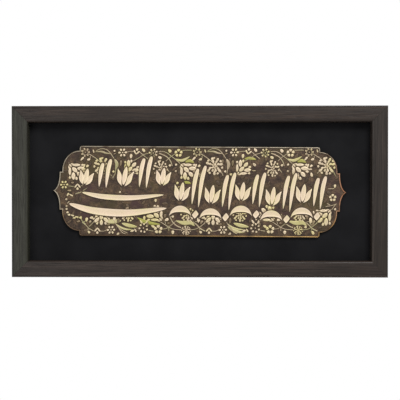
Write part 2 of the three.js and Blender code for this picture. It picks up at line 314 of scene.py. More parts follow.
def blade(t: np.ndarray) -> np.ndarray:
    """Half-width share of a reed: it swells slowly to two thirds of its height and closes fast."""
    return t ** 0.8 * (1 - t) ** 0.4 / 0.465


def boat(t: np.ndarray) -> np.ndarray:
    """Half-width share of a long sweep: nearly even, with short pointed ends."""
    return np.sin(np.pi * t) ** 0.55


def moon(t: np.ndarray) -> np.ndarray:
    """Half-width share of a crescent: full in the middle and long and thin at the ends."""
    return np.sin(np.pi * t) ** 1.3


def lens(t: np.ndarray) -> np.ndarray:
    """Half-width share of a leaf: a plain lens."""
    return np.sin(np.pi * t) ** 0.8


def even(t: np.ndarray) -> np.ndarray:
    """Half-width share of a stem: even, and closed in the last few hundredths."""
    return np.clip(np.minimum(t, 1 - t) * 30, 0, 1) ** 0.5


@dataclass
class Ribbon:
    """A form of changing width along a curve on the plaque."""

    points: Sequence[Sequence[float]]
    width: float
    profile: Callable[[np.ndarray], np.ndarray]
    steps: int = 36

    def trace(self) -> tuple[np.ndarray, np.ndarray, np.ndarray]:
        """Walks the curve with steps closer together near its ends.

        Returns:
            Centre points, unit normals and half-widths.
        """
        t = 0.5 - 0.5 * np.cos(np.linspace(0, np.pi, self.steps + 1))
        t = 0.5 * t + 0.5 * np.linspace(0, 1, self.steps + 1)
        centre = spline(self.points, t)
        step = 1e-3
        ahead = spline(self.points, np.minimum(t + step, 1)) - spline(self.points, np.maximum(t - step, 0))
        ahead /= np.linalg.norm(ahead, axis=1, keepdims=True)
        normal = np.stack([-ahead[:, 1], ahead[:, 0]], axis=1)
        half = np.maximum(self.profile(np.clip(t, 0, 1)) * self.width / 2, 0.04)
        return centre, normal, half


# Finishes


class Grain(Enum):
    """Which way the grain of a length of moulding runs, as the axis that its streaks are drawn out along."""

    ALONG_X = 0
    ALONG_Z = 2


@dataclass(frozen=True)
class WengeWood:
    """Wenge, planed and oiled: nearly black brown with long paler streaks and open pores, a low satin sheen."""

    name: str
    grain: Grain
    dark: str
    middle: str
    light: str
    streak_mm: float = 2.4
    pore_mm: float = 1.1
    draw_out: float = 34.0

    def material(self) -> bpy.types.Material:
        """Builds the wood: streaks over the dark, the palest where broad bands meet them, then pores.

        Returns:
            The material.
        """
        material, tree = new_material(self.name)
        place = add_node(tree, "TexCoord").outputs["Object"]
        scale = [1.0, 1.0, 1.0]
        scale[self.grain.value] = 1 / self.draw_out
        drawn = add_node(tree, "Mapping", None, {"Vector": place, "Scale": scale}).outputs[0]
        streaks = Cloud(self.streak_mm, 0.36, 0.64, 4).lay(tree, drawn)
        bands = Cloud(self.streak_mm * 4.5, 0.34, 0.7, 2).lay(tree, drawn)
        pores = Cloud(self.pore_mm, 0.52, 0.68, 2).lay(tree, drawn)
        paler = add_node(tree, "Math", {"operation": "MULTIPLY"}, {0: streaks, 1: bands}).outputs[0]
        colour = layered(tree, self.dark, [(streaks, self.middle), (paler, self.light), (pores, self.dark)])
        gloss = add_node(tree, "MapRange", None, {"Value": pores, "To Min": 0.4, "To Max": 0.7}).outputs[0]
        closed = add_node(tree, "Math", {"operation": "SUBTRACT"}, {0: 1.0, 1: pores}).outputs[0]
        finish_material(tree, {"Base Color": colour, "Roughness": gloss, "Specular IOR Level": 0.35},
                        closed, 0.1)
        return material


@dataclass(frozen=True)
class BlackPaint:
    """Matt black sprayed paint on board: a soft, even black with a faint orange-peel grain."""

    colour: str = "121214"
    worn: str = "19191b"

    def material(self) -> bpy.types.Material:
        """Builds the paint.

        Returns:
            The material.
        """
        material, tree = new_material("matt_black_paint")
        place = add_node(tree, "TexCoord").outputs["Object"]
        colour = layered(tree, self.colour, [(Cloud(60, 0.35, 0.65).lay(tree, place), self.worn)])
        finish_material(tree, {"Base Color": colour, "Roughness": 0.85, "Specular IOR Level": 0.15},
                        Cloud(1.5, 0.35, 0.65).lay(tree, place), 0.03)
        return material


@dataclass(frozen=True)
class BareFibreboard:
    """Bare hardboard: warm brown, flecked with fibres, dull."""

    colour: str = "7b5f45"
    fleck: str = "5f4732"
    faded: str = "866a4e"

    def material(self) -> bpy.types.Material:
        """Builds the board's back.

        Returns:
            The material.
        """
        material, tree = new_material("bare_fibreboard")
        place = add_node(tree, "TexCoord").outputs["Object"]
        fibres = Cloud(3, 0.4, 0.7, 5).lay(tree, place)
        colour = layered(tree, self.colour, [(Cloud(90, 0.35, 0.65).lay(tree, place), self.faded),
                                             (fibres, self.fleck)])
        finish_material(tree, {"Base Color": colour, "Roughness": 0.85, "Specular IOR Level": 0.25},
                        fibres, 0.08)
        return material


@dataclass(frozen=True)
class PatinatedGround:
    """Cast brass, punched all over and left under a brown patina: mottled, with olive and plum in patches and
    paler where the punch marks are rubbed."""

    dark: str = "2f2218"
    middle: str = "4a382a"
    olive: str = "4a3e22"
    plum: str = "47312c"
    rubbed: str = "70593f"
    punch_mm: float = 2.4

    def material(self) -> bpy.types.Material:
        """Builds the ground.

        Returns:
            The material.
        """
        material, tree = new_material("patinated_brass_ground")
        place = add_node(tree, "TexCoord").outputs["Object"]
        cells = add_node(tree, "TexVoronoi", {"feature": "F1"},
                         {"Vector": place, "Scale": per_mm(self.punch_mm)}).outputs["Distance"]
        marks = add_node(tree, "MapRange", {"clamp": True},
                         {"Value": cells, "From Min": 0.15, "From Max": 0.6}).outputs[0]
        worn = Cloud(11, 0.45, 0.72, 3, 5.3).lay(tree, place)
        wear = add_node(tree, "Math", {"operation": "MULTIPLY"}, {0: marks, 1: worn}).outputs[0]
        colour = layered(tree, self.dark, [
            (Cloud(7, 0.35, 0.65, 4).lay(tree, place), self.middle),
            (Cloud(38, 0.5, 0.68, 2).lay(tree, place), self.olive),
            (Cloud(46, 0.52, 0.7, 2, 3.1).lay(tree, place), self.plum),
            (wear, self.rubbed)])
        finish_material(tree, {"Base Color": colour, "Metallic": 0.3, "Roughness": 0.55}, marks, 0.22)
        return material


@dataclass(frozen=True)
class RubbedBrass:
    """Cast brass rubbed back on its high places: pale on the edges, duller in the hollows, and dark at the root,
    which is patina and painted shade.
    """

    name: str
    hollow: str
    warm: str
    edge: str
    straw: str
    root: str = "2b2117"
    metallic: float = 0.35
    roughness: float = 0.4

    def material(self) -> bpy.types.Material:
        """Builds the brass, which reads from the mesh how far each point is rubbed: root, hollow, then edge. The
        root is patina and painted shade at the foot of each form.

        Returns:
            The material.
        """
        material, tree = new_material(self.name)
        place = add_node(tree, "TexCoord").outputs["Object"]
        rub_and_shade = add_node(tree, "Attribute", {"attribute_name": "rub_and_shade"}).outputs["Fac"]
        # Painted shade with patina: points at the foot of each form, least rubbed, take the dark root colour.
        shade = add_node(tree, "MapRange", {"clamp": True}, {
            "Value": rub_and_shade, "From Min": 0.05, "From Max": 0.4, "To Min": 1.0, "To Max": 0.0}).outputs[0]
        high = add_node(tree, "MapRange", {"clamp": True},
                        {"Value": rub_and_shade, "From Min": 0.4, "From Max": 0.95}).outputs[0]
        speck = Cloud(1.6, 0.5, 0.75, 2).lay(tree, place)
        dust = add_node(tree, "Math", {"operation": "MULTIPLY"}, {0: speck, 1: 0.22}).outputs[0]
        yellowed = Cloud(48, 0.45, 0.62, 2, 7.7).lay(tree, place)
        turned = add_node(tree, "Math", {"operation": "MULTIPLY"}, {0: yellowed, 1: high}).outputs[0]
        colour = layered(tree, self.hollow, [(Cloud(26, 0.4, 0.62).lay(tree, place), self.warm),
                                             (high, self.edge), (turned, self.straw),
                                             (dust, self.root), (shade, self.root)])
        finish_material(tree, {"Base Color": colour, "Metallic": self.metallic,
                               "Roughness": self.roughness}, speck, 0.04)
        return material


@dataclass(frozen=True)
class RimBrass:
    """The cast rim: a bright line only on its crest, where it is rubbed, and brown patina in patches. Its tones by
    place are painted light: a pale grey reflection along the top, a gold highlight along the bottom and a copper
    highlight at the right end, browner towards the lower left."""

    root: str = "4a3a2b"
    pale: str = "a79c88"
    copper: str = "b37f5f"
    gold: str = "b8945c"
    patina: str = "5d4a37"

    def material(self) -> bpy.types.Material:
        """Builds the rim: painted reflection and highlights by place on the panel, then the root wherever the bead
        isn't rubbed.

        Returns:
            The material.
        """
        material, tree = new_material("rim_brass")
        place = add_node(tree, "TexCoord").outputs["Object"]
        spot = add_node(tree, "SeparateXYZ", None, {"Vector": place})
        # Painted highlights: copper at the right end and gold along the bottom; the pale base colour is a painted
        # reflection.
        rightward = add_node(tree, "MapRange", {"clamp": True},
                             {"Value": spot.outputs["X"], "From Min": 0.26, "From Max": 0.285}).outputs[0]
        downward = add_node(tree, "MapRange", {"clamp": True}, {
            "Value": spot.outputs["Z"], "From Min": -0.03, "From Max": -0.06}).outputs[0]
        leftward = add_node(tree, "MapRange", {"clamp": True},
                            {"Value": spot.outputs["X"], "From Min": 0.1, "From Max": -0.1}).outputs[0]
        corner = add_node(tree, "Math", {"operation": "MULTIPLY"}, {0: downward, 1: leftward}).outputs[0]
        rub_and_shade = add_node(tree, "Attribute", {"attribute_name": "rub_and_shade"}).outputs["Fac"]
        shade = add_node(tree, "MapRange", {"clamp": True}, {
            "Value": rub_and_shade, "From Min": 0.5, "From Max": 0.95, "To Min": 1.0, "To Max": 0.0}).outputs[0]
        colour = layered(tree, self.pale, [(downward, self.gold), (corner, self.patina),
                                           (rightward, self.copper),
                                           (Cloud(22, 0.5, 0.7).lay(tree, place), self.patina),
                                           (shade, self.root)])
        finish_material(tree, {"Base Color": colour, "Metallic": 0.5, "Roughness": 0.4})
        return material


# Painted light: the four rails are one wenge tinted to how the light falls on each side, the left stile painted
# lighter and more olive than the right.
TOP_WOOD = WengeWood("wenge_top", Grain.ALONG_X, "1f1713", "2c231c", "3e3129")
RIGHT_WOOD = WengeWood("wenge_right", Grain.ALONG_Z, "211b16", "2e2722", "3e352e")
BOTTOM_WOOD = WengeWood("wenge_bottom", Grain.ALONG_X, "221b17", "302722", "423731")
LEFT_WOOD = WengeWood("wenge_left", Grain.ALONG_Z, "23221b", "2f2f26", "3f3f33")
STROKE_BRASS = RubbedBrass("rubbed_stroke_brass", "e6d2ae", "efd6b8", "fbe4c8", "efe0ac", metallic=0.2)
FLOWER_BRASS = RubbedBrass("rubbed_flower_brass", "93805f", "9a8468", "eed9b8", "ded092", metallic=0.25)
STEM_BRASS = RubbedBrass("rubbed_stem_brass", "8b7658", "826d55", "b5a285", "aba476", metallic=0.3)
STRAW_BRASS = RubbedBrass("straw_leaf_brass", "a0925f", "94865c", "d2c792", "c9c07c", metallic=0.3)
OLIVE_BRASS = RubbedBrass("olive_leaf_brass", "8a8246", "7a713f", "b0aa5c", "a9a84e", metallic=0.3)
WORN_BRASS = RubbedBrass("worn_leaf_brass", "6a5741", "604d39", "86725a", "7d7150", metallic=0.3, roughness=0.5)


# Frame and board


@dataclass
class Moulding:
    """The four mitred lengths of shadow-box moulding."""

    length: float = 750
    height: float = 342
    face: float = 32.5
    depth: float = 34
    arris: float = 2.6
    quirk_width: float = 3.6
    quirk_depth: float = 0.7
    lip: float = 3.4
    rebate: float = 9
    board: float = 10
    gap: float = 0.3

    def section(self) -> np.ndarray:
        """The moulding's section: a rounded arris, a fine quirk, a flat face that crowns by a hair, a rounded
        lip, the inner wall and the rebate.

        Returns:
            Its points, each (inward from the outer edge, forward from the wall).
        """
        turn = np.linspace(0, np.pi / 2, 9)
        front = self.depth - self.quirk_depth
        arris = np.stack([self.arris * (1 - np.cos(turn)), front - self.arris * (1 - np.sin(turn))], axis=1)
        across = np.linspace(0, 1, 7)
        start, end = self.quirk_width + self.quirk_depth, self.face - self.lip
        crown = 0.12 * (1 - (2 * across - 1) ** 2)
        face = np.stack([start + (end - start) * across, self.depth - 0.12 + crown], axis=1)
        roll = np.linspace(0, np.pi / 2, 8)[1:]
        lip = np.stack([end + self.lip * np.sin(roll) ** 1.2,
                        self.depth - 0.12 - self.lip * (1 - np.cos(roll) ** 1.2)], axis=1)
        seat = self.board + self.gap
        rest = np.array([[self.face, seat], [self.face - self.rebate, seat], [self.face - self.rebate, 0.0]])
        quirk = np.array([[self.quirk_width, front]])
        return np.concatenate([[[0.0, 0.0]], arris, quirk, face, lip, rest])

    def rail(self, name: str, long: float, across: float, turn: float, wood: WengeWood) -> None:
        """Carries the section along one length and cuts its ends on the diagonal.

        Args:
            name: The CAD node that it replaces.
            long: Outer length.
            across: The panel's size across this length.
            turn: How far the length is turned about Y, in radians.
            wood: Its finish.
        """
        section = self.section()
        half = long / 2 - section[:, 0] - self.gap / 2
        stops = np.linspace(-1, 1, 9)
        rings = np.stack([stops[:, None] * half, np.broadcast_to(-section[:, 1], (9, len(section))),
                          np.broadcast_to(across / 2 - section[:, 0], (9, len(section)))], axis=-1)
        cos, sin = math.cos(turn), math.sin(turn)
        turned = np.stack([rings[..., 0] * cos + rings[..., 2] * sin, rings[..., 1],
                           -rings[..., 0] * sin + rings[..., 2] * cos], axis=-1)
        make_piece(f"wood_{name}", loft(turned), [wood.material()], name, 30)

    def build(self) -> None:
        """Builds the four lengths, clockwise from the top, each with its own tint of the wenge, which is painted
        light.
        """
        self.rail("frame_top_rail", self.length, self.height, 0, TOP_WOOD)
        self.rail("frame_right_stile", self.height, self.length, math.pi / 2, RIGHT_WOOD)
        self.rail("frame_bottom_rail", self.length, self.height, math.pi, BOTTOM_WOOD)
        self.rail("frame_left_stile", self.height, self.length, -math.pi / 2, LEFT_WOOD)


@dataclass
class BackingBoard:
    """The board in the rebate: black in front, bare behind."""

    thickness: float = 10
    bevel: float = 0.5

    def build(self) -> None:
        """Builds the board as rings that step round its edge from back to front, bevelled at both faces."""
        low, high = (np.array(corner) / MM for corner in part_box("backing_board"))
        half_x, half_z = (high[0] - low[0]) / 2, (high[2] - low[2]) / 2
        corners = np.array([[-1, -1], [1, -1], [1, 1], [-1, 1]])
        steps = np.array([[self.bevel, 0], [0, self.bevel], [0, self.thickness - self.bevel],
                          [self.bevel, self.thickness]])
        rings = np.stack([
            np.stack([corners[:, 0] * (half_x - inset), np.full(4, -depth), corners[:, 1] * (half_z - inset)],
                     axis=1) for inset, depth in steps])
        shell = loft(rings, 0.5, np.array([1, 1, 0]))
        shell.slots[-2:] = [1, 0]
        make_piece("painted_backing_board", shell, [BlackPaint().material(), BareFibreboard().material()],
                   "backing_board", 30)


# Plaque


@dataclass
class Cartouche:
    """The plaque's outline and heights, and where its plane lies in the panel."""

    half_length: float = 294.5
    half_height: float = 90.6
    run_end: float = 241.6
    corner: float = 5
    lobe_top: float = 81
    lobe_end: float = 276.4
    lobe_foot: float = 41
    ear_end: float = 281.8
    ear_top: float = 38.5
    shoulder: float = 7
    rim: float = 2.8
    rim_top: float = 6.6
    ground: float = 4.5
    back: float = 10.3
    tilt_deg: float = 0.4

    def quarter(self, inset: float) -> np.ndarray:
        """One quarter of the outline: a straight run, a small rounded corner, a quarter-round lobe, a square
        step, and a quadratic ogee to the point.

        Args:
            inset: How far the outline is drawn in.

        Returns:
            Points from the middle of the run to the point.
        """
        turn = np.linspace(0, np.pi / 2, 6)
        run = np.stack([np.linspace(0, self.run_end - self.corner, 12, endpoint=False),
                        np.full(12, self.half_height - inset)], axis=1)
        radius = self.corner - inset
        corner = np.stack([self.run_end - self.corner + radius * np.sin(turn),
                           self.half_height - self.corner + radius * np.cos(turn)], axis=1)
        step = np.array([[self.run_end - inset, self.lobe_top - inset]])
        turn = np.linspace(0, np.pi / 2, 20)[1:]
        lobe = np.stack([self.run_end + (self.lobe_end - self.run_end - inset) * np.sin(turn),
                         self.lobe_foot + (self.lobe_top - self.lobe_foot - inset) * np.cos(turn)], axis=1)
        ear = np.array([[self.lobe_end - inset, self.ear_top - inset]])
        t = np.linspace(0, 1, 14)[:, None]
        start = np.array([self.ear_end - inset, self.ear_top - inset])
        knee = np.array([self.ear_end - inset, self.shoulder])
        point = np.array([self.half_length - 1.4 * inset, 0.0])
        ogee = (1 - t) ** 2 * start + 2 * t * (1 - t) * knee + t ** 2 * point
        return np.concatenate([run, corner, step, lobe, ear, ogee])

    def outline(self, inset: float) -> np.ndarray:
        """The whole outline from four mirrored quarters.

        Args:
            inset: How far it is drawn in.

        Returns:
            Points round the plaque.
        """
        quarter = self.quarter(inset)
        back = quarter[::-1][1:-1]
        return np.concatenate([quarter, back * [1, -1], quarter * [-1, -1], (back * [-1, 1])])

    def field_half_height(self, x: np.ndarray) -> np.ndarray:
        """Half the height of the field inside the rim at distances along the plaque.

        Args:
            x: Distances from the centre.

        Returns:
            Half-heights.
        """
        far = np.abs(x)
        across = np.clip((far - self.run_end) / (self.lobe_end - self.run_end), 0, 1)
        lobe = self.lobe_foot + (self.lobe_top - self.lobe_foot) * np.sqrt(1 - across ** 2)
        ear = np.where(far < self.ear_end, self.ear_top, 0)
        height = np.where(far < self.run_end, self.half_height, np.where(far < self.lobe_end, lobe, ear))
        return height - self.rim

    def place(self, shape: np.ndarray) -> np.ndarray:
        """Moves (x, z, height) points of the plaque into the panel: tilted a little about Y, on the board.

        Args:
            shape: Points of the plaque.

        Returns:
            Points of the panel.
        """
        cos, sin = math.cos(math.radians(self.tilt_deg)), math.sin(math.radians(self.tilt_deg))
        x, z, height = shape[..., 0], shape[..., 1], shape[..., 2]
        return np.stack([x * cos + z * sin, -(self.back + height), -x * sin + z * cos], axis=-1)

    def build(self) -> None:
        """Builds the plate: a flat back, a side, a rounded rim and a ground that runs in to its middle line."""
        turn = np.linspace(0, np.pi, 9)
        bead = np.stack([self.rim / 2 * (1 - np.cos(turn)), self.ground + (self.rim_top - self.ground)
                         * np.sin(turn) ** 0.8], axis=1)
        steps = np.concatenate([[[0, 0.0]], [[0, self.ground - 1.5]], bead, [[self.rim + 0.6, self.ground]]])
        edge = np.stack([self.outline(inset) for inset in steps[:, 0]])
        edge = np.concatenate([edge, np.broadcast_to(steps[:, 1, None, None], edge.shape[:2] + (1,))], axis=2)
        inner = edge[-1]
        middle = self.half_length - self.half_height
        spine = np.stack([np.clip(inner[:, 0], -middle, middle), np.zeros(len(inner)), inner[:, 2]], axis=1)
        fill = np.linspace(0, 1, 26)[1:, None, None]
        ground = inner + (spine - inner) * fill
        behind = (edge[0] + (spine * [1, 1, 0] - edge[0]) * fill[::-1])
        rings = np.concatenate([behind, edge, ground])
        rub_and_shade = np.concatenate([np.full(len(behind), 0.2), [0.2, 0.3], 0.35 + 0.65 * np.sin(turn), [0.2],
                              np.full(len(ground), 0.2)])
        slots = np.zeros(len(rings) - 1, int)
        slots[len(behind):len(behind) + 10] = 1
        shell = loft(self.place(rings), rub_and_shade[:, None], slots, caps=False)
        make_piece("plaque_plate", shell, [PatinatedGround().material(), RimBrass().material()],
                   "plaque", 50, weld_mm=0.02)


@dataclass
class StrokeBand:
    """The band of bold strokes, a row of plant forms: reeds, lotuses and long sweeps over hills and lozenges."""

    plate: Cartouche
    top: float = 7.6
    dish: float = 0.45
    reed_lean: float = 0.17
    reed_width: float = 8.6
    leaf_width: float = 10
    hill_radius: float = 25
    hill_span_deg: float = 130
    hill_width: float = 13
    lozenge_size: float = 17
    start: float = 242
    pitch: float = 61
    rises: tuple[float, ...] = (0, -6, 3, -3, 2)
    stretches: tuple[float, ...] = (0.95, 1.12, 1, 1.08, 1.2)
    ribbons: list[Ribbon] = field(default_factory=list)
    lozenges: list[tuple[float, float]] = field(default_factory=list)

    def reed(self, x: float, z: float, height: float) -> None:
        """Adds a reed: a leaning blade with a slight bow.

        Args:
            x: Its foot.
            z: Its foot.
            height: Its height.
        """
        bow, lean = 0.012 * height, self.reed_lean * height
        self.ribbons.append(Ribbon([[x, z], [x + 0.3 * lean - bow, z + 0.35 * height],
                                    [x + 0.6 * lean - bow, z + 0.7 * height], [x + lean, z + height]],
                                   self.reed_width, blade, 44))

    def lotus(self, x: float, z: float, length: float, turn: float) -> None:
        """Adds a lotus: a short blade between two leaves that curl outwards from its foot.

        Args:
            x: Its foot.
            z: Its foot.
            length: Its height.
            turn: Its direction in degrees.
        """
        dx, dz = math.cos(math.radians(turn)), math.sin(math.radians(turn))
        for side in (1, -1):
            spots = ((0.04, 0.06), (0.3, 0.22), (0.6, 0.29), (0.88, 0.42))
            self.ribbons.append(Ribbon([[x + length * (far * dx - side * out * dz),
                                         z + length * (far * dz + side * out * dx)] for far, out in spots],
                                       self.leaf_width, moon, 40))
        self.ribbons.append(Ribbon([[x + length * far * dx, z + length * far * dz] for far in (0.1, 1.05)],
                                   self.leaf_width, lens, 32))

    def hill(self, x: float, z: float) -> None:
        """Adds a hill: a crescent with its horns down, along an arc round (x, z)."""
        angle = np.radians(90 + self.hill_span_deg * np.linspace(-0.5, 0.5, 7))
        points = np.stack([x + self.hill_radius * np.cos(angle), z + self.hill_radius * np.sin(angle)], axis=1)
        self.ribbons.append(Ribbon(points.tolist(), self.hill_width, moon, 64))

    def sweep(self, x: float, z: float, end_x: float, end_z: float, sag: float, width: float) -> None:
        """Adds a long sweep that sags below the line between its ends.

        Args:
            x: Its left end.
            z: Its left end.
            end_x: Its right end.
            end_z: Its right end.
            sag: How far it hangs.
            width: Its greatest width.
        """
        run, rise = end_x - x, end_z - z
        self.ribbons.append(Ribbon([[x, z], [x + run * 0.25, z + rise * 0.25 - sag * 0.9],
                                    [x + run * 0.6, z + rise * 0.6 - sag], [end_x, end_z]], width, boat, 180))

    def compose(self) -> None:
        """Lays out the phrase that repeats from the right end, and the longer one at the left end."""
        for k, (rise, stretch) in enumerate(zip(self.rises, self.stretches)):
            shift = self.start - k * self.pitch
            self.reed(shift, rise - 34, 70 * stretch)
            self.reed(shift - 13, rise - 28, 60 * stretch)
            self.lotus(shift - 36.5, rise - 23, 38, 82)
            self.hill(shift - 36.5, rise - 62)
            self.lozenges.append((shift - 6, rise - 48))
        for form in ((-107, 6, 64), (-121, 8, 58), (-188, 6, 58), (-202, 8, 48)):
            self.reed(*form)
        for form in ((-76, 10, 36, 82), (-154, 8, 40, 80), (-232, 10, 34, 78)):
            self.lotus(*form)
        for form in ((-262, -26, -66, -34, 13, 15), (-236, -3, -72, -7, 8, 11)):
            self.sweep(*form)

    def lozenge_rings(self, x: float, z: float, levels: np.ndarray) -> np.ndarray:
        """A lozenge with slightly full sides: straight between its corners, swelling by a sine in the middle.

        Args:
            x: Its centre.
            z: Its centre.
            levels: Rows of (how far drawn in, height).

        Returns:
            Rings of (x, z, height) points.
        """
        part = np.linspace(0, 4, 32, endpoint=False)
        start = part.astype(int)
        part = (part - start)[:, None]
        corner = np.radians(90 * np.arange(5) + np.array([8, -6, 8, -6, 8]))
        reach = np.array([0.4, 0.5, 0.4, 0.5, 0.4]) * self.lozenge_size
        ends = np.stack([reach * np.cos(corner), reach * np.sin(corner)], axis=1)
        loop = (ends[start] + (ends[start + 1] - ends[start]) * part) * (1 + 0.1 * np.sin(np.pi * part))
        share = 1 - levels[:, 0, None, None] / (0.45 * self.lozenge_size)
        height = np.broadcast_to(levels[:, 1, None, None], (len(levels), 32, 1))
        return np.concatenate([loop * share + [x, z], height], axis=2)

    def section(self, half: np.ndarray) -> tuple[np.ndarray, np.ndarray, np.ndarray]:
        """A stroke's section: a dark line on the ground, which is patina and painted shade, steep sides, a bevelled
        bright edge and a dished top, all smaller where the stroke narrows.

        Args:
            half: Half-widths along the stroke.

        Returns:
            Offsets across, heights, and how far each is rubbed.
        """
        ground = self.plate.ground + 0 * half
        rise = (self.top - self.plate.ground) * np.minimum(1, (half / 1.6) ** 0.6)
        bevel, land = np.minimum(0.5, 0.3 * half), np.minimum(1.3, 0.62 * half)
        dish = self.dish * np.clip((half - 1) / 3, 0, 1)
        crest = ground + rise
        # The first two rows, not rubbed, are the dark line round the stroke: patina and painted shade.
        side = [(half + 0.9, ground - 0.5, 0.0), (half + 0.8, ground + 0.05, 0.0),
                (half + 0.05, ground + 0.2 * rise, 0.1), (half - 0.2 * bevel, crest - 0.35 * rise, 0.6),
                (half - 0.5 * bevel, crest - 0.4 * bevel, 0.95), (half - bevel, crest, 1.0),
                (half - land, crest - 0.25 * dish, 0.85), (0.4 * (half - land), crest - dish, 0.45)]
        across = np.stack([row[0] for row in side] + [-row[0] for row in side[::-1]], axis=1)
        height = np.stack([row[1] for row in side] + [row[1] for row in side[::-1]], axis=1)
        return across, height, np.array([row[2] for row in side] + [row[2] for row in side[::-1]])

    def samples(self) -> np.ndarray:
        """Places along every stroke with their half-widths, for measuring how clear a point is of them.

        Returns:
            Rows of (x, z, half-width).
        """
        rows = []
        for ribbon in self.ribbons:
            centre, _, half = ribbon.trace()
            rows.append(np.column_stack([centre, half]))
        share = np.linspace(-1, 1, 9)
        width = 0.34 * self.lozenge_size * (1 - np.abs(share))
        for x, z in self.lozenges:
            rows.append(np.column_stack([x + 0 * share, z + share * 0.5 * self.lozenge_size, width]))
            rows.append(np.column_stack([x + share * 0.4 * self.lozenge_size, z + 0 * share, width]))
        return np.concatenate(rows)

    def build(self) -> None:
        """Builds every stroke, all in one piece of the casting."""
        self.compose()
        shells = []
        for ribbon in self.ribbons:
            centre, normal, half = ribbon.trace()
            across, height, rub_and_shade = self.section(half)
            flat = centre[:, None] + normal[:, None] * across[..., None]
            rings = np.concatenate([flat, height[..., None]], axis=-1)
            shells.append(loft(self.plate.place(rings), rub_and_shade))
        low, crest = self.plate.ground, self.top
        # The first two levels, not rubbed, are the dark line round each lozenge: patina and painted shade.
        levels = np.array([[-0.9, low - 0.5], [-0.8, low + 0.05], [-0.05, low + 0.7], [0.1, crest - 1.1],
                           [0.25, crest - 0.2], [0.5, crest], [1.5, crest - 0.1], [4.4, crest - self.dish],
                           [7.0, crest - self.dish]])
        rub_and_shade = np.array([0, 0, 0.1, 0.6, 0.95, 1, 0.85, 0.45, 0.4])
        shells += [loft(self.plate.place(self.lozenge_rings(x, z, levels)), rub_and_shade[:, None])
                   for x, z in self.lozenges]
        make_piece("plaque_strokes", Shell.join(shells), [STROKE_BRASS.material()], "plaque",
                   35)


class Rosette(Enum):
    """Small open flowers by petal count, petal length, petal width, distance of the petals, and centre size, the
    last four as shares of the radius."""

    SIX = (6, 0.62, 0.48, 0.68, 0.36)
    FIVE = (5, 0.66, 0.70, 0.62, 0.0)
    RING = (7, 0.44, 0.42, 0.78, 0.26)


class PetalForm(Enum):
    """How pointed a petal is: a drop is round and full at its outer end, a leaf is pointed at both ends."""

    DROP = 0.0
    LEAF = 1.0


